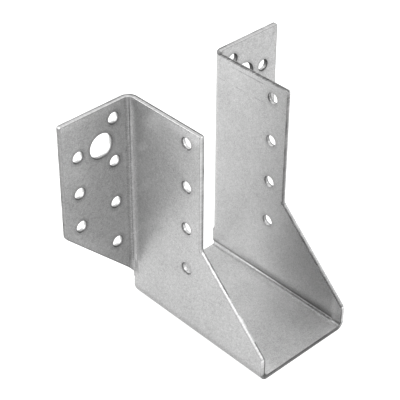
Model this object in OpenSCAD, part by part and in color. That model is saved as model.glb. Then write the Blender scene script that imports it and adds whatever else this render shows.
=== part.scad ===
// Face-fixed joist hanger, folded from one punched blank of galvanised sheet.
// X runs across the joist, Z is up and the header beam stands on the +Y side.

/* [Joist pocket] */
// Clear width between the cheeks, for the joist
joist_w = 44; // [30:1:100]
// Depth from the header to the front edge of the seat
seat_d = 77.5; // [60:0.5:110]
// Height from the underside of the seat to the top edges
hanger_h = 98.5; // [90:0.5:160]

/* [Sheet] */
// Thickness of the sheet
sheet_t = 2; // [1.5:0.1:2.5]
// Inside radius of the bends between the seat and the cheeks
seat_bend_r = 1.5; // [1:0.1:3]
// Inside radius of the bends between the cheeks and the flanges
flange_bend_r = 2.5; // [1:0.1:3]

/* [Cheeks] */
// Depth of a cheek's upper strip, from the header
strip_d = 42; // [30:0.5:55]
// Height of the upright lip at the front edge
lip_h = 11; // [6:0.5:30]
// Height at which the slanted front edge meets the upper strip
slant_top_h = 45; // [30:0.5:80]
// Distance from the header to a cheek's lower back edge
cheek_back = 2; // [0:0.1:3]
// Distance from the header to the seat's back edge
seat_back = 3; // [2:0.1:8]

/* [Flanges] */
// Width of a flange, from its cheek's outer face
flange_w = 34; // [31:0.5:50]
// Height of the lower end of a flange's outer edge
flange_low_h = 46; // [42:0.5:52]
// Slope of a flange's lower edge, down towards its cheek
flange_slope = 45; // [35:1:48]
// Radius of the relief where that edge runs out at the cheek
relief_r = 3; // [1:0.5:5]

/* [Nail holes] */
// Diameter of a nail hole
nail_d = 5; // [3:0.5:6]
// Holes in a cheek, and in a flange's inner column
nail_n = 4; // [2:1:4]
// Spacing of those holes up the sheet
nail_pitch = 20; // [16:0.5:21]
// Distance from the top edge to the first hole of a cheek
cheek_nail_top = 6.5; // [5:0.5:10]
// Distance from the front edge of the strip to a cheek's holes
cheek_nail_edge = 7.75; // [5:0.25:12]
// Distance from the top edge to the first hole of a flange's inner column
flange_nail_top = 7; // [5:0.5:9]
// Distance from a flange's outer edge to its inner column
inner_column = 26; // [25:0.5:26.5]
// Distance from a flange's outer edge to its outer column
outer_column = 8; // [5:0.5:9]
// Drop from the first to the second hole of the outer column
outer_drop_1 = 17; // [12:0.5:18]
// Drop from the second to the third hole of the outer column
outer_drop_2 = 16; // [12:0.5:18]

/* [Bolt holes] */
// Diameter of a bolt hole
bolt_d = 11; // [9:0.5:12]
// Distance from a flange's outer edge to its bolt hole
bolt_column = 19.5; // [18.5:0.5:20]

/* [Hidden] */
$fn = 96;
// Length by which a cutting shape runs past what it cuts
past = 5;
// Half widths inside and outside the cheeks, and out to the flanges' edges
inner_x = joist_w / 2;
outer_x = inner_x + sheet_t;
edge_x = outer_x + flange_w;
// Outside radii of the two kinds of bend
seat_bend_out = seat_bend_r + sheet_t;
flange_bend_out = flange_bend_r + sheet_t;
// The relief's arc meets the cheek's outer face at its centre's height
corner_z = flange_low_h - flange_w * tan(flange_slope);
relief_z = corner_z + relief_r * (tan(flange_slope) - 1 / cos(flange_slope));
// Height of the bolt holes, level with the outer columns' first holes
bolt_z = hanger_h - flange_nail_top - nail_pitch / 2;

// What is drawn on the right, with its mirror image on the left
module both_sides() {
    children();
    mirror([1, 0, 0]) children();
}

// A quarter of a bend, in section, from the +X axis to the +Y axis about the origin
module bend_section(inside_r) {
    intersection() {
        difference() {
            circle(r = inside_r + sheet_t);
            circle(r = inside_r);
        }
        square(inside_r + sheet_t);
    }
}

// The seat, its two bends and the cheeks, seen along the joist
module trough_section() {
    flat_x = outer_x - seat_bend_out;
    translate([-flat_x, 0]) square([2 * flat_x, sheet_t]);
    both_sides() {
        translate([flat_x, seat_bend_out]) mirror([0, 1]) bend_section(seat_bend_r);
        translate([inner_x, seat_bend_out]) square([sheet_t, hanger_h - seat_bend_out]);
    }
}

// A cheek's outline, seen from the side: the back edge steps in where the flange bends away
module cheek_outline() {
    polygon([
        [-flange_bend_out, hanger_h],
        [-strip_d, hanger_h],
        [-strip_d, slant_top_h],
        [-seat_d, lip_h],
        [-seat_d, 0],
        [-seat_back, 0],
        [-seat_back, sheet_t],
        [-cheek_back, seat_bend_out],
        [-cheek_back, relief_z],
        [-flange_bend_out, relief_z]
    ]);
}

// Seat and cheeks, folded about the joist's length and trimmed to the outline
module trough() {
    intersection() {
        rotate([90, 0, 0]) linear_extrude(seat_d) trough_section();
        translate([-edge_x, 0, 0]) rotate([90, 0, 90]) linear_extrude(2 * edge_x) cheek_outline();
    }
}

// Back of a cheek, its bend and its flange, seen from above
module flange_section() {
    translate([inner_x, -flange_bend_out - past]) square([sheet_t, past]);
    translate([inner_x + flange_bend_out, -flange_bend_out]) mirror([1, 0]) bend_section(flange_bend_r);
    translate([inner_x + flange_bend_out, -sheet_t])
        square([edge_x - inner_x - flange_bend_out, sheet_t]);
}

// A flange's outline, seen from the joist: the lower edge slopes to the relief at the cheek
module flange_outline() {
    relief_x = outer_x + relief_r;
    run_out = [relief_x - relief_r * sin(flange_slope), relief_z + relief_r * cos(flange_slope)];
    difference() {
        translate([inner_x, relief_z]) square([edge_x - inner_x, hanger_h - relief_z]);
        translate([relief_x, relief_z]) circle(r = relief_r);
        polygon([
            [relief_x, relief_z],
            run_out,
            [edge_x + past, flange_low_h + past * tan(flange_slope)],
            [edge_x + past, relief_z - past],
            [relief_x, relief_z - past]
        ]);
    }
}

// The right flange, folded about the upright and trimmed to the outline
module flange() {
    intersection() {
        linear_extrude(hanger_h) flange_section();
        rotate([90, 0, 0]) linear_extrude(flange_bend_out + past) flange_outline();
    }
}

// A hole punched through a flange, given by its distance from the outer edge and its height
module flange_hole(edge, z, d) {
    translate([edge_x - edge, -sheet_t - past, z]) rotate([-90, 0, 0]) cylinder(d = d, h = sheet_t + 2 * past);
}

// The right flange's holes: the inner column, the outer column and the bolt hole
module flange_holes() {
    for (i = [0 : nail_n - 1]) {
        flange_hole(inner_column, hanger_h - flange_nail_top - i * nail_pitch, nail_d);
    }
    for (drop = [0, outer_drop_1, outer_drop_1 + outer_drop_2]) {
        flange_hole(outer_column, bolt_z - drop, nail_d);
    }
    flange_hole(bolt_column, bolt_z, bolt_d);
}

// Nail holes through both cheeks, in line with each other across the pocket
module cheek_holes() {
    for (i = [0 : nail_n - 1]) {
        translate([-outer_x - past, cheek_nail_edge - strip_d, hanger_h - cheek_nail_top - i * nail_pitch])
            rotate([0, 90, 0]) cylinder(d = nail_d, h = 2 * (outer_x + past));
    }
}

// The whole folded sheet, centred on the plan of its bounding box
module hanger() {
    color("gainsboro") translate([0, seat_d / 2, 0]) difference() {
        union() {
            trough();
            both_sides() flange();
        }
        both_sides() flange_holes();
        cheek_holes();
    }
}

hanger();
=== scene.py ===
"""Looks for the joist hanger: the folded sheet with its cut edges, its zinc finish, and a plain studio."""

import math
from functools import reduce

import bmesh
import bpy
from bpy.props import FloatProperty, FloatVectorProperty, IntProperty, PointerProperty
from mathutils import Matrix, Vector


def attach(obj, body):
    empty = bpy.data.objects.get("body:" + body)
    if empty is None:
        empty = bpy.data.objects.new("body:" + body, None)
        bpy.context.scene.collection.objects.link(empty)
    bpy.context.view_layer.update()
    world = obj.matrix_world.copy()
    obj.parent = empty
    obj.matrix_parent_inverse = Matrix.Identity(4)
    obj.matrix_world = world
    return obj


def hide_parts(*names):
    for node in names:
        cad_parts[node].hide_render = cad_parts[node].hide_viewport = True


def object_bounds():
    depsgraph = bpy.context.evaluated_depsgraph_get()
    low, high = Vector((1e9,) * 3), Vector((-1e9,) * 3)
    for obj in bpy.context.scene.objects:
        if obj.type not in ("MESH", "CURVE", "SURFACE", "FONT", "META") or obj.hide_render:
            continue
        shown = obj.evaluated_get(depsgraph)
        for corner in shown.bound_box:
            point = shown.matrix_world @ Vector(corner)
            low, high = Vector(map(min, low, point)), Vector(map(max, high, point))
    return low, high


bl_info = {
    "name": "Joist hanger",
    "version": (1, 0, 0),
    "blender": (4, 5, 0),
    "location": "View3D > Sidebar > Joist hanger",
    "description": "Folds a face-fixed joist hanger from sheet, gives it its zinc finish and lights it",
    "category": "Object",
}

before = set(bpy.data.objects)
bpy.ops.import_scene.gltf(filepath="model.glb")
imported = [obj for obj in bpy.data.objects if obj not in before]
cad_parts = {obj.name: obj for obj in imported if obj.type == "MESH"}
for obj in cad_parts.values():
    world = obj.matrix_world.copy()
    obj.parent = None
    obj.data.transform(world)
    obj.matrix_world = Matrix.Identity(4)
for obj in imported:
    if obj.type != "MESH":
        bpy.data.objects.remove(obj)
CAD_LOW, CAD_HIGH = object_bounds()
MM = 0.001
QUARTER = math.pi / 2
# Distance within which two places count as the same
NEAR = 0.02 * MM
# Distance by which a corner of the finished sheet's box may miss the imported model's
BOX_SLACK = 0.5 * MM
# Steps around a seat bend and around a flange bend
SEAT_STEPS, FLANGE_STEPS = 16, 22
# Share of the sheet's thickness within which an edge counts as lying on one of its surfaces
SKIN = 0.1
# Angles up to which faces are merged as flat and shaded as smooth, and from which they meet in a cut edge
FLAT, SMOOTH, SHARP = math.radians(0.5), math.radians(32), math.radians(40)


# Settings


class HangerSizes(bpy.types.PropertyGroup):
    """Sizes of the folded sheet and of its holes"""

    joist: FloatProperty(name="Joist width", description="Clear width between the cheeks",
                         default=44 * MM, unit="LENGTH", precision=4)
    depth: FloatProperty(name="Depth", description="From the header to the front edge of the seat",
                         default=CAD_HIGH.y - CAD_LOW.y, unit="LENGTH", precision=4)
    height: FloatProperty(name="Height", description="From the underside of the seat to the top edges",
                          default=CAD_HIGH.z, unit="LENGTH", precision=4)
    reach: FloatProperty(name="Half width", description="From the middle to a flange's outer edge",
                         default=CAD_HIGH.x, unit="LENGTH", precision=4)
    sheet: FloatProperty(name="Sheet", description="Thickness of the sheet",
                         default=2 * MM, unit="LENGTH", precision=4)
    seat_bend: FloatProperty(name="Seat bend", description="Inside radius of the bends beside the seat",
                             default=1.5 * MM, unit="LENGTH", precision=4)
    flange_bend: FloatProperty(name="Flange bend", description="Inside radius of the bends to the flanges",
                               default=2.5 * MM, unit="LENGTH", precision=4)
    strip: FloatProperty(name="Strip depth", description="Depth of a cheek's upper strip, from the header",
                         default=42 * MM, unit="LENGTH", precision=4)
    lip: FloatProperty(name="Lip", description="Height of the upright lip at the front edge",
                       default=11 * MM, unit="LENGTH", precision=4)
    slant_top: FloatProperty(name="Slant top", unit="LENGTH", precision=4, default=45 * MM,
                             description="Height at which the slanted edge meets the strip")
    cheek_back: FloatProperty(name="Cheek back", unit="LENGTH", precision=4, default=2 * MM,
                              description="Gap from the header to a cheek's lower back edge")
    seat_back: FloatProperty(name="Seat back", description="Gap from the header to the seat's back edge",
                             default=3 * MM, unit="LENGTH", precision=4)
    flange_low: FloatProperty(name="Flange low", unit="LENGTH", precision=4, default=46 * MM,
                              description="Height of the lower end of a flange's outer edge")
    relief: FloatProperty(name="Relief", unit="LENGTH", precision=4, default=3 * MM,
                          description="Radius where a flange's lower edge runs out at the cheek")
    web: FloatProperty(name="Web", unit="LENGTH", precision=4, default=1.6 * MM,
                       description="Height between a cheek's foot and the start of its flange bend")
    nail: FloatProperty(name="Nail hole", description="Diameter of a nail hole",
                        default=5 * MM, unit="LENGTH", precision=4)
    nails: IntProperty(name="Nail holes", description="Holes in a cheek, and in a flange's inner column",
                       default=4, min=1)
    pitch: FloatProperty(name="Nail pitch", description="Spacing of those holes up the sheet",
                         default=20 * MM, unit="LENGTH", precision=4)
    cheek_nail_top: FloatProperty(name="Cheek nail top", unit="LENGTH", precision=4, default=6.5 * MM,
                                  description="From the top edge to the first hole of a cheek")
    cheek_nail_edge: FloatProperty(name="Cheek nail column", unit="LENGTH", precision=5, default=7.75 * MM,
                                   description="From the strip's front edge to a cheek's holes")
    flange_nail_top: FloatProperty(name="Flange nail top", unit="LENGTH", precision=4, default=7 * MM,
                                   description="From the top edge to a flange's first nail hole")
    inner_column: FloatProperty(name="Inner column", unit="LENGTH", precision=4, default=26 * MM,
                                description="From a flange's outer edge to its inner column of nail holes")
    outer_column: FloatProperty(name="Outer column", unit="LENGTH", precision=4, default=8 * MM,
                                description="From a flange's outer edge to its outer column of nail holes")
    outer_drop_1: FloatProperty(name="First drop", unit="LENGTH", precision=4, default=17 * MM,
                                description="From the first to the second hole of the outer column")
    outer_drop_2: FloatProperty(name="Second drop", unit="LENGTH", precision=4, default=16 * MM,
                                description="From the second to the third hole of the outer column")
    bolt: FloatProperty(name="Bolt hole", description="Diameter of a bolt hole",
                        default=11 * MM, unit="LENGTH", precision=4)
    bolt_column: FloatProperty(name="Bolt hole's place", unit="LENGTH", precision=4, default=19.5 * MM,
                               description="From a flange's outer edge to its bolt hole")
    rolled: FloatProperty(name="Rolled edge", unit="LENGTH", precision=5, default=0.45 * MM,
                          description="Rounding of the cut edges where the punch went in")
    rim: FloatProperty(name="Hole's rim", unit="LENGTH", precision=5, default=0.3 * MM,
                       description="Rounding of the holes' edges where the punch went in")
    torn: FloatProperty(name="Torn edge", unit="LENGTH", precision=5, default=0.14 * MM,
                        description="Rounding of the cut edges where the punch came out")
    corner: FloatProperty(name="Blank's corners", unit="LENGTH", precision=5, default=1.0 * MM,
                          description="Rounding of the corners of the punched blank")


class HangerFinish(bpy.types.PropertyGroup):
    """Colour and sheen of the zinc"""

    zinc: FloatVectorProperty(name="Zinc", description="Mean colour of the zinc", default=(0.4, 0.4, 0.4),
                              subtype="COLOR", size=3)
    sheen: FloatProperty(name="Roughness", description="Mean roughness of the zinc", default=0.38,
                         subtype="FACTOR", min=0.0, max=1.0)


class HangerStage(bpy.types.PropertyGroup):
    """Floor, light and camera"""

    floor: FloatVectorProperty(name="Floor", description="Colour of the floor", default=(0.3, 0.3, 0.3),
                               subtype="COLOR", size=3)
    glow: FloatProperty(name="Floor's glow", description="Strength of the light that the floor gives off",
                        default=0.9, min=0.0)
    air: FloatProperty(name="Air", description="Strength of the even light from all around",
                       default=1.36, min=0.0)
    eye: FloatVectorProperty(name="Camera place", description="Where the camera stands", size=3,
                             default=(-0.311395, -0.305115, 0.379831), subtype="TRANSLATION", unit="LENGTH")
    turn: FloatProperty(name="Camera turn", description="Turn of the view from the back towards the right",
                        default=math.radians(43.586), subtype="ANGLE", unit="ROTATION")
    tilt: FloatProperty(name="Camera tilt", description="Tilt of the view, down",
                        default=math.radians(36.609), subtype="ANGLE", unit="ROTATION")
    roll: FloatProperty(name="Camera roll", description="Roll of the camera about its view",
                        default=math.radians(0.395), subtype="ANGLE", unit="ROTATION")
    lens: FloatProperty(name="Lens", description="Focal length in millimetres for a 36 mm sensor",
                        default=1373.172 / 400 * 36, unit="CAMERA")


class Fold:
    """Places on the folded sheet, worked out from its sizes."""

    def __init__(self, s):
        # a cheek's two faces and its middle, across the joist, and the header's face, along it
        self.inner = s.joist / 2
        self.middle = self.inner + s.sheet / 2
        self.outer = self.inner + s.sheet
        self.header = s.depth / 2
        # a seat bend's axis, and the radius of the sheet's middle around it
        self.seat_x = self.inner - s.seat_bend
        self.seat_z = s.sheet + s.seat_bend
        self.seat_r = s.seat_bend + s.sheet / 2
        # the same for a flange bend
        self.flange_x = self.outer + s.flange_bend
        self.flange_y = self.header - s.sheet - s.flange_bend
        self.flange_r = s.flange_bend + s.sheet / 2
        # the height at which a flange's sloped lower edge would meet the cheek, and below it the height
        # at which the flange bend starts and the top of the cheek's foot, which runs on behind the bend
        self.corner = s.flange_low - (s.reach - self.outer)
        self.bend_low = self.corner - s.web
        self.foot = self.bend_low - s.web
        # a foot runs on by a whole number of the flange bend's steps
        self.step = self.flange_r * QUARTER / FLANGE_STEPS
        self.foot_steps = round((self.header - s.cheek_back - self.flange_y) / self.step)
        self.tail = self.flange_y + self.foot_steps * self.step
        # the knee, where the slanted edge meets the upper strip, and the way that the slanted edge faces
        self.knee = Vector((0, self.header - s.strip, s.slant_top))
        self.slant_out = Vector((0, s.lip - s.slant_top, s.depth - s.strip)).normalized()


# Modelling helpers


def free_hands():
    """Leaves edit mode and deselects everything."""
    if bpy.context.object and bpy.context.object.mode != "OBJECT":
        bpy.ops.object.mode_set(mode="OBJECT")
    bpy.ops.object.select_all(action="DESELECT")


def take(ob):
    """Makes an object the only selected and active one."""
    free_hands()
    ob.select_set(True)
    bpy.context.view_layer.objects.active = ob


def edit(ob):
    """Takes an object into edit mode."""
    take(ob)
    bpy.ops.object.mode_set(mode="EDIT")


def choose(ob, kind, test):
    """Selects, in edit mode, the corners, edges or faces that pass a test."""
    bpy.ops.mesh.select_mode(type={"verts": "VERT", "edges": "EDGE", "faces": "FACE"}[kind])
    bpy.ops.mesh.select_all(action="DESELECT")
    mesh = bmesh.from_edit_mesh(ob.data)
    found = 0
    for part in getattr(mesh, kind):
        if test(part):
            part.select_set(True)
            found += 1
    bmesh.update_edit_mesh(ob.data)
    if not found:
        raise RuntimeError(f"nothing to select among the {kind} of {ob.name}")


def at(part, **where):
    """True where every corner of an edge or face lies at the given coordinates."""
    return all(abs(getattr(v.co, axis) - value) < NEAR for v in part.verts for axis, value in where.items())


def push(x=0.0, y=0.0, z=0.0):
    """Extrudes what is selected."""
    bpy.ops.mesh.extrude_region_move(TRANSFORM_OT_translate={"value": (x, y, z)})


def apply_modifier(ob, kind, **settings):
    """Adds a modifier with its settings and applies it."""
    take(ob)
    modifier = ob.modifiers.new(kind.title(), kind)
    for name, value in settings.items():
        setattr(modifier, name, value)
    bpy.ops.object.modifier_apply(modifier=modifier.name)


def cut(ob, cutter):
    """Cuts one solid out of another, gives the new faces the second material and removes the cutter."""
    cutter.data.materials.clear()
    for slot in ob.material_slots:
        cutter.data.materials.append(slot.material)
    for face in cutter.data.polygons:
        face.material_index = 1
    apply_modifier(ob, "BOOLEAN", operation="DIFFERENCE", solver="EXACT", object=cutter,
                   material_mode="INDEX")
    bpy.data.objects.remove(cutter)


def punch(axis, centre, diameter, length):
    """A round punch along the X or the Y axis."""
    free_hands()
    turn = (0, QUARTER, 0) if axis == "x" else (QUARTER, 0, 0)
    bpy.ops.mesh.primitive_cylinder_add(vertices=64, radius=diameter / 2, depth=length, location=centre,
                                        rotation=turn)
    bpy.ops.object.transform_apply(location=True, rotation=True, scale=True)
    return bpy.context.object


def gang(punches):
    """Joins punches that don't touch into one cutter."""
    free_hands()
    for part in punches:
        part.select_set(True)
    bpy.context.view_layer.objects.active = punches[0]
    bpy.ops.object.join()
    return bpy.context.object


# The folded sheet


def fold_trough(s, fold):
    """The seat, its two bends and the cheeks, from the front edge to the start of the flange bends."""
    front = -fold.header
    free_hands()
    bpy.ops.mesh.primitive_plane_add(size=1, location=(0, (front + fold.flange_y) / 2, s.sheet / 2))
    ob = bpy.context.object
    ob.name = ob.data.name = "folded_sheet"
    ob.scale = (2 * fold.seat_x, fold.flange_y - front, 1)
    bpy.ops.object.transform_apply(location=True, rotation=True, scale=True)
    edit(ob)
    for side in (-1, 1):
        choose(ob, "edges", lambda e: at(e, x=side * fold.seat_x))
        bpy.ops.mesh.spin(steps=SEAT_STEPS, angle=QUARTER, center=(side * fold.seat_x, 0, fold.seat_z),
                          axis=(0, side, 0))
    for start, end in ((fold.seat_z, fold.foot), (fold.foot, fold.bend_low), (fold.bend_low, s.height)):
        choose(ob, "edges", lambda e: at(e, z=start))
        push(z=end - start)
    return ob


def run_feet_on(ob, s, fold):
    """Runs the seat and the cheeks' feet on behind the line where the flanges bend away."""
    choose(ob, "edges", lambda e: at(e, y=fold.flange_y)
           and all(v.co.z < fold.foot + NEAR for v in e.verts))
    push(y=fold.tail - fold.flange_y)
    # the back edge steps forward around the seat bends, from the feet's to the seat's
    for i in range(SEAT_STEPS):
        z = fold.seat_z - fold.seat_r * math.cos(i * QUARTER / SEAT_STEPS)
        share = min(1.0, max(0.0, (fold.seat_z - z) / s.seat_bend))
        choose(ob, "verts", lambda v: abs(v.co.y - fold.tail) < NEAR and abs(v.co.z - z) < NEAR / 10)
        bpy.ops.transform.translate(value=(0, (s.cheek_back - s.seat_back) * share, 0))
    choose(ob, "edges", lambda e: at(e, z=fold.foot)
           and all(v.co.y > fold.flange_y - NEAR for v in e.verts))
    bpy.ops.mesh.subdivide(number_cuts=fold.foot_steps - 1)


def fold_flange(ob, s, fold, side):
    """Bends a flange away from its cheek, joins it to the cheek's foot and slopes its lower edge."""
    hinge = side * fold.flange_x

    def on_bend(i, z):
        """Where the bend's i-th step lies, at a height."""
        turn = i * fold.step / fold.flange_r
        away, back = fold.flange_r * math.cos(turn), fold.flange_r * math.sin(turn)
        return Vector((hinge - side * away, fold.flange_y + back, z))

    choose(ob, "edges", lambda e: at(e, y=fold.flange_y, x=side * fold.middle)
           and all(v.co.z > fold.bend_low - NEAR for v in e.verts))
    bpy.ops.mesh.spin(steps=FLANGE_STEPS, angle=QUARTER, center=(hinge, fold.flange_y, 0),
                      axis=(0, 0, side))
    # the web between the cheek's foot and the start of the bend
    for i in range(fold.foot_steps):
        corners = []
        for j in (i, i + 1):
            corners += [Vector((side * fold.middle, fold.flange_y + j * fold.step, fold.foot)),
                        on_bend(j, fold.bend_low)]
        choose(ob, "verts", lambda v: any((v.co - c).length < NEAR for c in corners))
        bpy.ops.mesh.edge_face_add()
    # the lower edge climbs out of the relief, until its arc is as steep as the slope, and on up the slope
    steepest = s.relief * (1 - math.sqrt(0.5))
    for i in range(fold.foot_steps + 1, FLANGE_STEPS + 1):
        run = min((i - fold.foot_steps) * fold.step, steepest)
        arc = fold.bend_low + math.sqrt(s.relief ** 2 - (s.relief - run) ** 2)
        slope = fold.corner + abs(on_bend(i, 0).x) - fold.outer
        choose(ob, "verts", lambda v: (v.co - on_bend(i, fold.bend_low)).length < NEAR)
        bpy.ops.transform.translate(value=(0, 0, max(arc, slope) - fold.bend_low))
    choose(ob, "edges", lambda e: at(e, x=hinge))
    push(x=side * s.reach - hinge)
    choose(ob, "verts", lambda v: abs(v.co.x - side * s.reach) < NEAR and v.co.z < s.flange_low)
    bpy.ops.transform.translate(value=(0, 0, s.reach - abs(hinge)))


def trim_front(ob, fold):
    """Cuts the slanted front edge and the front of the upper strip."""
    def on_cheek(face):
        centre = face.calc_center_median()
        return centre.z > fold.seat_z and centre.y < fold.flange_y and abs(face.normal.x) > 0.99

    def is_waste(face):
        centre = face.calc_center_median()
        past_slant = (centre - fold.knee).dot(fold.slant_out) > 0
        return centre.z > fold.seat_z and centre.y < fold.knee.y and past_slant

    for facing in (fold.slant_out, Vector((0, -1, 0))):
        choose(ob, "faces", on_cheek)
        bpy.ops.mesh.bisect(plane_co=fold.knee, plane_no=facing)
    choose(ob, "faces", is_waste)
    bpy.ops.mesh.delete(type="FACE")


def fold_blank(s, fold):
    """The sheet's middle surface, folded from the seat outwards."""
    ob = fold_trough(s, fold)
    run_feet_on(ob, s, fold)
    for side in (-1, 1):
        fold_flange(ob, s, fold, side)
    trim_front(ob, fold)
    bpy.ops.mesh.select_all(action="SELECT")
    bpy.ops.mesh.remove_doubles(threshold=NEAR)
    bpy.ops.mesh.dissolve_limited(angle_limit=FLAT)
    bpy.ops.mesh.normals_make_consistent(inside=False)
    bpy.ops.object.mode_set(mode="OBJECT")
    return ob


def hole_places(s, fold):
    """The axis, centre and diameter of every hole."""
    bolt_z = s.height - s.flange_nail_top - s.pitch / 2
    columns = [(s.inner_column, s.height - s.flange_nail_top - i * s.pitch, s.nail) for i in range(s.nails)]
    for drop in (0, s.outer_drop_1, s.outer_drop_1 + s.outer_drop_2):
        columns.append((s.outer_column, bolt_z - drop, s.nail))
    columns.append((s.bolt_column, bolt_z, s.bolt))
    holes = []
    for side in (-1, 1):
        for edge, z, diameter in columns:
            holes.append(("y", Vector((side * (s.reach - edge), fold.header - s.sheet / 2, z)), diameter))
        for i in range(s.nails):
            z = s.height - s.cheek_nail_top - i * s.pitch
            holes.append(("x", Vector((side * fold.middle, fold.knee.y + s.cheek_nail_edge, z)), s.nail))
    return holes


def in_hole(place, s, holes):
    """True at the wall or the rim of a hole."""
    return any((place - centre).length < diameter / 2 + s.sheet for axis, centre, diameter in holes)


def inner_depth(p, s, fold):
    """Depth of a point below the sheet's inner surface, the one that meets the joist and the header."""
    x, y, z = abs(p.x), p.y, p.z
    if z < fold.seat_z:
        if x > fold.seat_x:
            return math.hypot(x - fold.seat_x, z - fold.seat_z) - s.seat_bend
        return s.sheet - z
    if y < fold.flange_y:
        return x - fold.inner
    if x < fold.flange_x:
        return s.flange_bend + s.sheet - math.hypot(x - fold.flange_x, y - fold.flange_y)
    return fold.header - y


def round_edges(ob, s, fold, holes):
    """Rolls the cut edges over where the punch went in, and only breaks them where it came out."""
    edit(ob)
    bpy.ops.mesh.select_all(action="SELECT")
    bpy.ops.mesh.remove_doubles(threshold=NEAR)
    bpy.ops.mesh.dissolve_limited(angle_limit=FLAT, delimit={"MATERIAL"})

    def kind_of(e):
        """Names a cut edge by where it runs; the corners by the reliefs stay sharp."""
        if len(e.link_faces) != 2 or e.calc_face_angle(0) < SHARP:
            return None
        depths = [inner_depth(v.co, s, fold) / s.sheet for v in e.verts]
        place = e.verts[0].co
        if max(depths) - min(depths) > 1 - SKIN:
            by_relief = place.y > 0 and abs(place.x) < fold.outer + s.sheet
            return None if by_relief else "corner"
        if min(depths) > 1 - SKIN:
            return "rim" if in_hole(place, s, holes) else "outside"
        return "inside" if max(depths) < SKIN else None

    for kind, width, segments, profile in (("corner", s.corner, 3, 0.5), ("outside", s.rolled, 4, 0.6),
                                           ("rim", s.rim, 3, 0.5), ("inside", s.torn, 2, 0.5)):
        choose(ob, "edges", lambda e: kind_of(e) == kind)
        bpy.ops.mesh.bevel(offset=width, offset_type="OFFSET", segments=segments, profile=profile,
                           affect="EDGES", clamp_overlap=True, material=-1 if kind == "corner" else 1)
    bpy.ops.object.mode_set(mode="OBJECT")


# Brightness of the cut edges' sheared, torn and rolled bands, by place: their own finish together with
# painted highlights and painted shade, the same cut lighter or darker at each edge and on each side as the
# light falls on it
CUT_TONES_AND_PAINTED_LIGHT = {
    "rest": (0.26, 0.26, 0.20),
    "left flange hole": (0.36, 0.50, 0.14),
    "right flange hole": (0.08, 0.08, 0.09),
    "left cheek hole": (0.60, 0.60, 0.18),
    "right cheek hole": (0.34, 0.20, 0.20),
    "left flange top": (0.46, 0.27, 0.50),
    "right flange top": (0.44, 0.30, 0.45),
    "left cheek top": (0.46, 0.14, 0.44),
    "right cheek top": (0.11, 0.24, 0.26),
    "left slant": (0.42, 0.16, 0.38),
    "right slant": (0.18, 0.10, 0.24),
    "left strip": (0.37, 0.26, 0.48),
    "right strip": (0.24, 0.19, 0.42),
    "lip front": (0.60, 0.17, 0.56),
    "seat front": (0.13, 0.13, 0.20),
    "flange side": (0.26, 0.26, 0.28),
}
# Painted light on the floors of the holes, where the light falls in
HOLE_FLOORS_PAINTED_LIGHT = {"right flange hole": 0.45, "right cheek hole": 0.62}


def hole_tones(face, kind):
    """The three tones of a hole's wall, with painted light where the wall faces up."""
    sheared, torn, rolled = CUT_TONES_AND_PAINTED_LIGHT[kind]
    upwards = min(1.0, max(0.0, (face.normal.z - 0.2) / 0.8))
    floor = HOLE_FLOORS_PAINTED_LIGHT.get(kind, 0.0) * upwards ** 2
    return max(sheared, floor), max(torn, floor), rolled


def face_tones(face, s, fold, holes):
    """The three tones of a cut face that doesn't lie along a top or front edge, painted highlights and
    shade included.
    """
    n, c = face.normal, face.center
    side = "left " if c.x < 0 else "right "
    if in_hole(c, s, holes):
        part = "flange" if c.y > fold.header - s.sheet - NEAR else "cheek"
        return hole_tones(face, side + part + " hole")
    from_knee = Vector((0, c.y, c.z)) - fold.knee
    if abs(from_knee.dot(fold.slant_out)) < s.rolled and s.lip < c.z < s.slant_top:
        return CUT_TONES_AND_PAINTED_LIGHT[side + "slant"]
    if abs(from_knee.y) < s.rolled and c.z > s.slant_top and n.y < -0.1:
        return CUT_TONES_AND_PAINTED_LIGHT[side + "strip"]
    return CUT_TONES_AND_PAINTED_LIGHT["flange side" if abs(c.x) > s.reach - s.rolled else "rest"]


def tone_cuts(ob, s, fold, holes):
    """Stores on each cut face how deep it lies in the sheet and how bright its three bands are, painted
    highlights and shade included.
    """
    mesh = ob.data
    store = mesh.attributes.new("cut", "FLOAT_COLOR", "CORNER")
    for face in mesh.polygons:
        side = "left " if face.center.x < 0 else "right "
        tones = face_tones(face, s, fold, holes)
        on_top = face.center.z > s.height - s.rolled and face.normal.z > 0.1
        in_front = face.center.y < s.rolled - fold.header
        for i in face.loop_indices:
            p = mesh.vertices[mesh.loops[i].vertex_index].co
            if on_top:
                past_bend = abs(p.x) + p.y > fold.inner + fold.header
                tones = CUT_TONES_AND_PAINTED_LIGHT[side + ("flange top" if past_bend else "cheek top")]
            elif in_front:
                tones = CUT_TONES_AND_PAINTED_LIGHT["lip front" if p.z > fold.seat_z - NEAR else "seat front"]
            depth = inner_depth(p, s, fold) / s.sheet
            store.data[i].color = (min(1.0, max(0.0, depth)), *tones)


# Shader maths


class Value:
    """A node's output; Python's arithmetic on it adds Math nodes."""

    def __init__(self, graph, socket):
        self.graph, self.socket = graph, socket

    def _math(self, operation, *values):
        node = self.graph.add("ShaderNodeMath", {"operation": operation}, *values)
        return Value(self.graph, node.outputs[0])

    def __add__(self, other):
        return self._math("ADD", self, other)

    def __radd__(self, other):
        return self._math("ADD", other, self)

    def __sub__(self, other):
        return self._math("SUBTRACT", self, other)

    def __rsub__(self, other):
        return self._math("SUBTRACT", other, self)

    def __mul__(self, other):
        return self._math("MULTIPLY", self, other)

    def __rmul__(self, other):
        return self._math("MULTIPLY", other, self)

    def __truediv__(self, other):
        return self._math("DIVIDE", self, other)

    def __rtruediv__(self, other):
        return self._math("DIVIDE", other, self)

    def __neg__(self):
        return self._math("MULTIPLY", self, -1.0)

    def __abs__(self):
        return self._math("ABSOLUTE", self)

    def low(self, other):
        return self._math("MINIMUM", self, other)

    def high(self, other):
        return self._math("MAXIMUM", self, other)

    def over(self, other):
        return self._math("GREATER_THAN", self, other)

    def angle(self, other):
        return self._math("ARCTAN2", self, other)

    def towards(self, other, share):
        """Goes from this value to another by a share of the way."""
        return self + (other - self) * share


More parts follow.
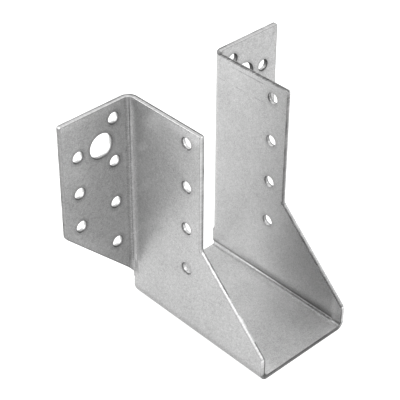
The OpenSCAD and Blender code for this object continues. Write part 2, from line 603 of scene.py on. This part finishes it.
class Graph:
    """A material's nodes."""

    def __init__(self, name):
        self.material = bpy.data.materials.new(name)
        self.material.use_nodes = True
        self.tree = self.material.node_tree
        self.tree.nodes.clear()

    def add(self, kind, settings=None, *values, **named):
        """Adds a node of a type, with its settings, then the values or links of its sockets."""
        node = self.tree.nodes.new(kind)
        for name, value in (settings or {}).items():
            if name == "stops":
                ramp = node.color_ramp
                while len(ramp.elements) > 1:
                    ramp.elements.remove(ramp.elements[-1])
                for i, (place, colour) in enumerate(value):
                    element = ramp.elements[0] if i == 0 else ramp.elements.new(place)
                    element.position, element.color = place, colour
            else:
                setattr(node, name, value)
        pairs = [(node.inputs[i], v) for i, v in enumerate(values)]
        pairs += [(node.inputs[k.replace("_", " ")], v) for k, v in named.items()]
        for socket, value in pairs:
            if isinstance(value, Value):
                value = value.socket
            if isinstance(value, bpy.types.NodeSocket):
                self.tree.links.new(value, socket)
            else:
                socket.default_value = value
        return node

    def value(self, kind, output, settings=None, *values, **named):
        return Value(self, self.add(kind, settings, *values, **named).outputs[output])

    def part(self, vector, axis):
        return self.value("ShaderNodeSeparateXYZ", axis, {}, Vector=vector)

    def vector(self, x, y, z):
        return self.value("ShaderNodeCombineXYZ", "Vector", {}, x, y, z)

    def stretch(self, vector, factors):
        return self.value("ShaderNodeVectorMath", "Vector", {"operation": "MULTIPLY"}, vector, factors)

    def scale(self, vector, factor):
        return self.value("ShaderNodeVectorMath", "Vector", {"operation": "SCALE"}, vector, Scale=factor)

    def distance(self, vector, centre):
        return self.value("ShaderNodeVectorMath", "Value", {"operation": "DISTANCE"}, vector, centre)

    def millimetres(self):
        """The piece's own coordinates, in millimetres."""
        return self.scale(self.value("ShaderNodeTexCoord", "Object"), 1 / MM)

    def noise(self, place, scale, detail=2.0, roughness=0.5):
        return self.value("ShaderNodeTexNoise", "Fac", {"noise_dimensions": "3D"}, Vector=place,
                          Scale=scale, Detail=detail, Roughness=roughness)

    def fade(self, value, start, end):
        """Runs smoothly from 0 to 1 as the value goes from start to end."""
        return self.value("ShaderNodeMapRange", "Result", {"interpolation_type": "SMOOTHSTEP"}, value,
                          start, end, 0.0, 1.0)

    def curve(self, value, span, stops):
        """Follows a broken line: the stops give its height at places within the span."""
        start, end = span
        run = self.value("ShaderNodeMapRange", "Result", {"clamp": True}, value, start, end, 0.0, 1.0)
        stops = [((place - start) / (end - start), (height, height, height, 1.0))
                 for place, height in stops]
        return self.value("ShaderNodeValToRGB", "Color", {"stops": stops}, run)

    def finish(self, relief, **sockets):
        """Ends the material in one metal shader, with a relief in millimetres."""
        bump = self.add("ShaderNodeBump", {}, Strength=1.0, Distance=MM, Height=relief)
        shader = self.add("ShaderNodeBsdfPrincipled", {}, Metallic=0.9, Normal=bump.outputs["Normal"],
                          **sockets)
        self.add("ShaderNodeOutputMaterial", {}, Surface=shader.outputs[0])
        return self.material


# The zinc


# Stretch across a seat bend that its marks span, in millimetres from its middle, up the cheek
SEAT_SPAN = (-10.0, 8.0)
# Brightness across the inside of a seat bend: the press's grooves and crest, with a painted highlight on
# the crest and painted shade in the crease and on the cheek above it
SEAT_BEND_MARKS_AND_SHADE = (
    (-9.0, 1.0), (-5.0, 1.10), (-2.8, 1.27), (-2.0, 1.42), (-1.5, 1.50), (-1.1, 1.42), (-0.9, 1.10),
    (-0.6, 0.55), (-0.35, 0.26), (-0.15, 0.18), (0.1, 0.25), (0.35, 0.90), (0.6, 1.50), (0.85, 0.70),
    (1.05, 0.32), (1.3, 0.29), (1.55, 0.36), (2.0, 0.48), (2.4, 0.49), (2.8, 0.51), (3.3, 0.60),
    (3.7, 0.70), (4.2, 0.80), (5.0, 0.93), (7.0, 1.0),
)
# The same at the front end, past the press
SEAT_BEND_FRONT_MARKS_AND_SHADE = (
    (-9.0, 1.0), (-2.0, 1.15), (-1.3, 1.0), (-0.8, 0.55), (0.0, 0.40), (0.8, 0.62), (1.4, 0.85),
    (2.0, 0.74), (2.4, 0.68), (3.3, 0.70), (4.1, 0.78), (5.0, 0.87), (6.5, 0.97),
)
# The same at the back end, where the painted shade is lighter
SEAT_BEND_BACK_MARKS_AND_SHADE = (
    (-9.0, 1.0), (-2.8, 1.05), (-2.0, 1.20), (-1.5, 1.28), (-1.1, 1.06), (-0.7, 0.56), (-0.2, 0.34),
    (0.2, 0.42), (0.45, 0.60), (0.7, 0.80), (0.95, 0.52), (1.15, 0.38), (1.5, 0.44), (2.0, 0.72),
    (2.5, 0.78), (3.2, 0.92),
)
# Stretch across a flange bend that its marks span, in millimetres from its middle, away from the cheek
FLANGE_SPAN = (-4.0, 4.0)
# Brightness across the hollow side of a flange bend: the die's marks, with painted shade in the crease and
# painted highlights beside it
FLANGE_BEND_MARKS_AND_SHADE = (
    (-3.8, 1.0), (-3.2, 1.12), (-2.7, 1.30), (-2.3, 1.45), (-1.8, 1.46), (-1.2, 1.12), (-0.75, 0.84),
    (-0.35, 0.62), (-0.1, 0.42), (0.12, 0.44), (0.4, 0.68), (0.65, 0.50), (0.9, 0.50), (1.3, 0.62),
    (1.75, 0.85), (2.3, 1.0),
)
# The same at its top, above the die: painted shade in the crease
FLANGE_BEND_RUN_IN_AND_SHADE = (
    (-3.0, 1.0), (-2.0, 1.05), (-1.2, 0.85), (-0.5, 0.62), (0.5, 0.58), (1.3, 0.62), (2.3, 1.0),
)
# Scores along the inner faces of the cheeks: the height of each, its half width and how much it darkens
SCORES = ((88.1, 0.30, 0.20), (96.4, 0.34, 0.30))
# Place along the joist, in millimetres, at which the scores end, and behind which a hole is a flange's
SCORES_END, FLANGE_HOLES = 35.0, 35.5


def along_bend(past, beyond, radius):
    """Distance along the sheet from a bend's middle, by the distances past its start and beyond its end."""
    turn = (past.angle(-beyond) / QUARTER).high(0.0).low(1.0)
    return (turn - 0.5) * (radius * QUARTER) + beyond.high(0.0) - (-past).high(0.0)


class Spot:
    """Where a point lies on the sheet, in millimetres, and the noises that vary the zinc there."""

    def __init__(self, g, s, fold):
        self.place = g.millimetres()
        self.x, self.along, self.up = [g.part(self.place, axis) for axis in "XYZ"]
        self.across = abs(self.x)
        stored = g.add("ShaderNodeAttribute", {"attribute_name": "cut"})
        self.outer = g.part(stored.outputs["Vector"], "X").over(0.5)
        self.inner = 1.0 - self.outer
        self.bent = along_bend(self.across - fold.seat_x / MM, self.up - fold.seat_z / MM, s.seat_bend / MM)
        self.drawn = along_bend(self.along - fold.flange_y / MM, self.across - fold.flange_x / MM,
                                s.flange_bend / MM)
        self.grain = g.noise(self.place, 2.6, 3.0, 0.7)
        self.mottle = g.noise(self.place, 0.8, 3.0, 0.6)
        self.cloud = g.noise(self.place, 0.07, 2.0, 0.5)
        self.speck = g.fade(g.noise(self.place, 1.15, 1.0, 0.5), 0.70, 0.78)


def seat_bend_marks_and_shade(g, spot):
    """Inside the seat's bends the press leaves a dark groove, a bright crest and a second groove, with
    painted shade in the crease and up the cheek and a painted highlight on the crest.
    """
    mark_and_shade = g.curve(spot.bent + (spot.mottle - 0.5) * 0.25, SEAT_SPAN, SEAT_BEND_MARKS_AND_SHADE)
    front = g.curve(spot.bent, SEAT_SPAN, SEAT_BEND_FRONT_MARKS_AND_SHADE)
    back = g.curve(spot.bent, SEAT_SPAN, SEAT_BEND_BACK_MARKS_AND_SHADE)
    mark_and_shade = front.towards(mark_and_shade, g.fade(spot.along, -35.0, -33.5))
    mark_and_shade = mark_and_shade.towards(back, g.fade(spot.along, 6.0, 30.0))
    return 1.0 + (mark_and_shade - 1.0) * g.fade(spot.up, 12.0, 8.0) * spot.inner


def flange_bend_marks_and_shade(g, spot):
    """The bends to the flanges are drawn over the die's edge on their hollow side, where painted shade
    darkens the crease and painted highlights lie beside it.
    """
    from_middle = abs(spot.drawn)
    stripe = (g.noise(g.stretch(spot.place, (1.2, 1.2, 2.6)), 1.0, 2.0, 0.6) - 0.5) * 0.7
    mark_and_shade = g.curve(spot.drawn, FLANGE_SPAN, FLANGE_BEND_MARKS_AND_SHADE) + stripe * g.fade(from_middle, 2.4, 1.4)
    run_in = g.curve(spot.drawn, FLANGE_SPAN, FLANGE_BEND_RUN_IN_AND_SHADE)
    mark_and_shade = mark_and_shade.towards(run_in, g.fade(spot.up, 93.2, 95.2))
    # the marks end above the low end of the bend, which is duller and wrinkles a little
    above, on_bend = g.fade(spot.up, 15.0, 21.0), g.fade(spot.up, 10.5, 12.5)
    dull = 0.28 * g.fade(from_middle, 2.8, 1.2) * (1.0 - above) * on_bend
    pleats = g.noise(g.vector(spot.drawn * 1.6, spot.x * 0.05, spot.up * 0.12), 1.0, 1.0, 0.5) - 0.5
    wrinkle = 1.5 * pleats * g.fade(from_middle, 3.4, 2.2) * g.fade(spot.up, 24.0, 17.0) * on_bend
    return (1.0 + ((mark_and_shade - 1.0) * above - dull) * spot.outer) * (1.0 + wrinkle * spot.outer)


def patch(g, share, *fades):
    """One plus a share that fades in as each value goes from its start to its end."""
    for value, start, end in fades:
        share = share * g.fade(value, start, end)
    return 1.0 + share


def patches_and_painted_light(g, spot):
    """Places where the steel is painted brighter or darker than the rest, mostly painted highlights and
    shade.
    """
    x, along, up, across, drawn = spot.x, spot.along, spot.up, spot.across, spot.drawn
    # painted highlight along the left flange's top edge, and along the left cheek's own top edge, at the
    # front
    tone = patch(g, 0.16, (up, 94.5, 97.0), (x, -27.0, -30.0))
    tone = tone * patch(g, 0.24 * spot.outer * (-x).over(22.0), (up, 92.5, 96.0), (along, 24.0, 2.0))
    # painted shade darkens the outer faces beside the tops of the flange bends and under the seat bends
    tone = tone * patch(g, -0.15 * spot.outer, (drawn, -14.0, -6.0), (drawn, -1.5, -3.0), (up, 76.0, 88.0))
    tone = tone * patch(g, -0.30 * spot.outer, (up, 6.5, 1.2))
    # painted light brightens the inside of the cheeks low down
    tone = tone * patch(g, 0.05 * spot.inner * across.over(21.0), (up, 42.0, 18.0), (along, 26.0, 6.0))
    # a lighter patch on the seat, at the front end of its bend, is longer along the joist than across it
    flattened = g.vector(across, along * 0.7, 0.0)
    light_patch = g.distance(flattened, (21.0, -35.0 * 0.7, 0.0)) + (spot.mottle - 0.5) * 1.5
    return tone * patch(g, 0.30 * spot.inner, (light_patch, 1.8, 0.6))


def scores(g, spot):
    """Guide rails scored the inner faces of the cheeks along the tops, with gaps."""
    tone = 1.0
    for height, width, depth in SCORES:
        line = g.fade(abs(spot.up - height + (spot.cloud - 0.5) * 0.5), width, width * 0.4)
        kept = g.fade(g.noise(spot.place, 0.15, 1.0), 0.38, 0.5)
        tone = tone * (1.0 - depth * line * kept * spot.inner * (1.0 - spot.along.over(SCORES_END)))
    return tone


def from_holes(g, s, fold, spot):
    """Distance in millimetres from the rim of the nearest hole, on the cheeks and on the flanges."""
    def nearest(place, wanted):
        gaps = [g.distance(place, centre / MM) - diameter / 2 / MM
                for axis, centre, diameter in hole_places(s, fold) if axis == wanted and centre.x > 0]
        return reduce(Value.low, gaps)

    on_cheek = nearest(g.vector(fold.middle / MM, spot.along, spot.up), "x")
    on_flange = nearest(g.vector(spot.across, (fold.header - s.sheet / 2) / MM, spot.up), "y")
    return on_cheek.towards(on_flange, spot.along.over(FLANGE_HOLES))


def rim_painted_shade(g, s, fold, spot):
    """Painted shade darkens the zinc around the rims of the holes, which are drawn in, more around the
    flanges' holes.
    """
    rim_shade = 0.12 + 0.10 * spot.along.over(FLANGE_HOLES)
    return 1.0 - rim_shade * g.fade(from_holes(g, s, fold, spot), 1.9, 0.6) * g.fade(spot.up, 20.0, 24.0)


def zinc(s, f, fold):
    """Hot-dipped zinc: fine mottled grain, faint clouds, small specks, the marks of the tools, and painted
    highlights and shade at the bends, the top edges and the holes.
    """
    g = Graph("zinc_coat")
    spot = Spot(g, s, fold)
    grain, mottle, cloud = spot.grain - 0.5, spot.mottle - 0.5, spot.cloud - 0.5
    tone = seat_bend_marks_and_shade(g, spot) * flange_bend_marks_and_shade(g, spot) * patches_and_painted_light(g, spot) * scores(g, spot)
    tone = tone * rim_painted_shade(g, s, fold, spot)
    tone = tone * (1.0 + grain * 1.6 + mottle * 0.5 + cloud * 0.25 - spot.speck * 0.12)
    relief = spot.grain * 0.006 + spot.mottle * 0.012 + g.noise(spot.place, 0.09, 1.0, 0.4) * 0.06
    return g.finish(relief, Base_Color=g.scale(tuple(f.zinc), tone.high(0.02).low(2.0)),
                    Roughness=f.sheen + mottle * 0.14 + grain * 0.10 + spot.speck * 0.1)


# The cut edges


def cut_steel():
    """Bare cut edge: burnished where the punch sheared it, rougher where it tore; the brightness of its
    bands, read from the mesh, holds painted highlights and shade.
    """
    g = Graph("cut_edge")
    p = g.millimetres()
    x, along, up = [g.part(p, axis) for axis in "XYZ"]
    stored = g.add("ShaderNodeAttribute", {"attribute_name": "cut"})
    parts = g.add("ShaderNodeSeparateColor", {}, Color=stored.outputs["Color"])
    depth, sheared, torn = [Value(g, socket) for socket in parts.outputs]
    rolled = Value(g, stored.outputs["Alpha"])
    grain = g.noise(p, 3.2, 2.0, 0.6)
    # the shear leaves fine ridges across the sheet's thickness, strongest on the right cheek's top edge
    flange, seat = along.over(36.0) * abs(x).over(25.0), 1.0 - up.over(2.5)
    run = g.vector(x * (flange.high(seat)), along * (1.0 - flange), up * (1.0 - seat))
    ridges = g.noise(run, 1.1, 2.0, 0.7)
    strength = 0.8 + 1.4 * x.over(0.0) * (1.0 - flange) * up.over(90.0)
    # a painted highlight brightens the tear along the lower half of the left slant; elsewhere the tear
    # comes and goes
    slant = g.fade(up, 33.0, 25.0) * up.over(16.5) * (-along).over(4.0) * (-x).over(0.0)
    torn = torn * (1.0 + 1.2 * slant) * (1.0 + (g.noise(run, 0.16, 1.0) - 0.5) * 1.6)
    break_line = g.fade(depth + (g.noise(p, 1.3, 2.0, 0.5) - 0.5) * 0.25, 0.30, 0.42)
    tone = torn.towards(sheared, break_line).towards(rolled, g.fade(depth, 0.60, 0.68))
    tone = tone * (1.0 + (grain - 0.5) * 0.4 + (ridges - 0.5) * strength)
    colour = g.add("ShaderNodeCombineColor", {}, tone, tone, tone).outputs[0]
    return g.finish(grain * 0.012, Base_Color=colour, Roughness=0.5 - break_line * 0.12,
                    Specular_Tint=(0.25, 0.25, 0.25, 1.0))


# The studio


# Each soft light: its bearing, from the back towards the right, and its height above the horizon, in
# degrees, its side in metres and its power in watts
LIGHTS = (
    ("back_left_softbox", 315, 45, 0.8, 8.8),
    ("low_back_left_softbox", 315, 15, 0.8, 7.0),
    ("right_softbox", 90, 15, 0.8, 6.0),
    ("edge_light", 135.6, 36.5, 0.3, 2.4),
)
# Distance of the lights from the middle of the floor, and the point that they are aimed at
LIGHTS_AWAY = 1.4
LIGHTS_AIM = Vector((0, 0, 0.04))
FLOOR_RADIUS = 3.0


def lay_floor(st):
    """A wide round of pale paper."""
    free_hands()
    bpy.ops.mesh.primitive_circle_add(vertices=128, radius=FLOOR_RADIUS, fill_type="NGON",
                                      location=(0, 0, 0))
    floor = bpy.context.object
    floor.name = "floor"
    g = Graph("floor_paper")
    shader = g.add("ShaderNodeBsdfPrincipled", {}, Base_Color=(*st.floor, 1.0), Roughness=1.0,
                   Specular_IOR_Level=0.0, Emission_Color=(1.0, 1.0, 1.0, 1.0), Emission_Strength=st.glow)
    g.add("ShaderNodeOutputMaterial", {}, Surface=shader.outputs[0])
    floor.data.materials.append(g.material)


def light_air(scene, st):
    """Even white light from all around."""
    world = bpy.data.worlds.new("studio_air")
    scene.world = world
    world.use_nodes = True
    background = world.node_tree.nodes["Background"]
    background.inputs["Color"].default_value = (1.0, 1.0, 1.0, 1.0)
    background.inputs["Strength"].default_value = st.air


def area_light(name, turn, rise, size, power):
    """A square soft light that the camera doesn't see."""
    away = Vector((math.sin(turn) * math.cos(rise), math.cos(turn) * math.cos(rise), math.sin(rise)))
    place = away * LIGHTS_AWAY
    free_hands()
    bpy.ops.object.light_add(type="AREA", location=place)
    lamp = bpy.context.object
    lamp.name = name
    lamp.data.shape, lamp.data.size, lamp.data.energy = "SQUARE", size, power
    lamp.rotation_euler = (LIGHTS_AIM - place).to_track_quat("-Z", "Y").to_euler()
    lamp.visible_camera = False


def aim_camera(scene, st):
    """Stands the camera where the photograph was taken from."""
    view = Vector((math.sin(st.turn) * math.cos(st.tilt), math.cos(st.turn) * math.cos(st.tilt),
                   -math.sin(st.tilt)))
    level = view.cross(Vector((0, 0, 1))).normalized()
    upright = level.cross(view)
    right = math.cos(st.roll) * level + math.sin(st.roll) * upright
    up = math.cos(st.roll) * upright - math.sin(st.roll) * level
    bpy.ops.object.camera_add(location=st.eye)
    camera = bpy.context.object
    camera.name = "camera"
    camera.rotation_euler = Matrix((right, up, -view)).transposed().to_euler()
    camera.data.sensor_width = 36.0
    camera.data.lens = st.lens
    camera.data.clip_start, camera.data.clip_end = 0.01, 20.0
    scene.camera = camera


# Operators


class HANGER_OT_folded_sheet(bpy.types.Operator):
    """Folds, punches and finishes the sheet"""

    bl_idname = "hanger.folded_sheet"
    bl_label = "Folded sheet"

    def execute(self, context):
        s, f = context.scene.hanger_sizes, context.scene.hanger_finish
        fold = Fold(s)
        holes = hole_places(s, fold)
        ob = fold_blank(s, fold)
        for material in (zinc(s, f, fold), cut_steel()):
            ob.data.materials.append(material)
        apply_modifier(ob, "SOLIDIFY", thickness=s.sheet, offset=0.0, use_even_offset=True, use_rim=True,
                       material_offset_rim=1)
        cut(ob, gang([punch(axis, centre, diameter, 3 * s.sheet) for axis, centre, diameter in holes]))
        round_edges(ob, s, fold, holes)
        tone_cuts(ob, s, fold, holes)
        take(ob)
        bpy.ops.object.shade_smooth_by_angle(angle=SMOOTH)
        apply_modifier(ob, "WEIGHTED_NORMAL", mode="FACE_AREA", weight=50, keep_sharp=True)
        low, high = Vector(ob.bound_box[0]), Vector(ob.bound_box[6])
        if (low - CAD_LOW).length > BOX_SLACK or (high - CAD_HIGH).length > BOX_SLACK:
            raise RuntimeError(f"the folded sheet isn't its size: {tuple(low)} to {tuple(high)}")
        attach(ob, "root")
        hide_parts("hanger")
        return {"FINISHED"}


class HANGER_OT_studio(bpy.types.Operator):
    """Sets the floor, the soft light and the camera"""

    bl_idname = "hanger.studio"
    bl_label = "Studio"

    def execute(self, context):
        scene, st = context.scene, context.scene.hanger_stage
        lay_floor(st)
        light_air(scene, st)
        for name, turn, rise, size, power in LIGHTS:
            area_light(name, math.radians(turn), math.radians(rise), size, power)
        aim_camera(scene, st)
        scene.view_settings.view_transform = "Standard"
        scene.view_settings.look = "None"
        return {"FINISHED"}


class HANGER_PT_sidebar(bpy.types.Panel):
    """Buttons and sizes of the joist hanger"""

    bl_idname = "HANGER_PT_sidebar"
    bl_label = "Joist hanger"
    bl_space_type = "VIEW_3D"
    bl_region_type = "UI"
    bl_category = "Joist hanger"

    def draw(self, context):
        layout = self.layout
        for operator in (HANGER_OT_folded_sheet, HANGER_OT_studio):
            layout.operator(operator.bl_idname)
        for group in (context.scene.hanger_sizes, context.scene.hanger_finish, context.scene.hanger_stage):
            box = layout.box()
            for name in group.__annotations__:
                box.prop(group, name)


CLASSES = (HangerSizes, HangerFinish, HangerStage, HANGER_OT_folded_sheet, HANGER_OT_studio,
           HANGER_PT_sidebar)


def register():
    for cls in CLASSES:
        bpy.utils.register_class(cls)
    bpy.types.Scene.hanger_sizes = PointerProperty(type=HangerSizes)
    bpy.types.Scene.hanger_finish = PointerProperty(type=HangerFinish)
    bpy.types.Scene.hanger_stage = PointerProperty(type=HangerStage)


def unregister():
    del bpy.types.Scene.hanger_stage
    del bpy.types.Scene.hanger_finish
    del bpy.types.Scene.hanger_sizes
    for cls in reversed(CLASSES):
        bpy.utils.unregister_class(cls)


def main():
    register()
    bpy.ops.hanger.folded_sheet()
    bpy.ops.hanger.studio()
    free_hands()


if __name__ == "__main__":
    main()
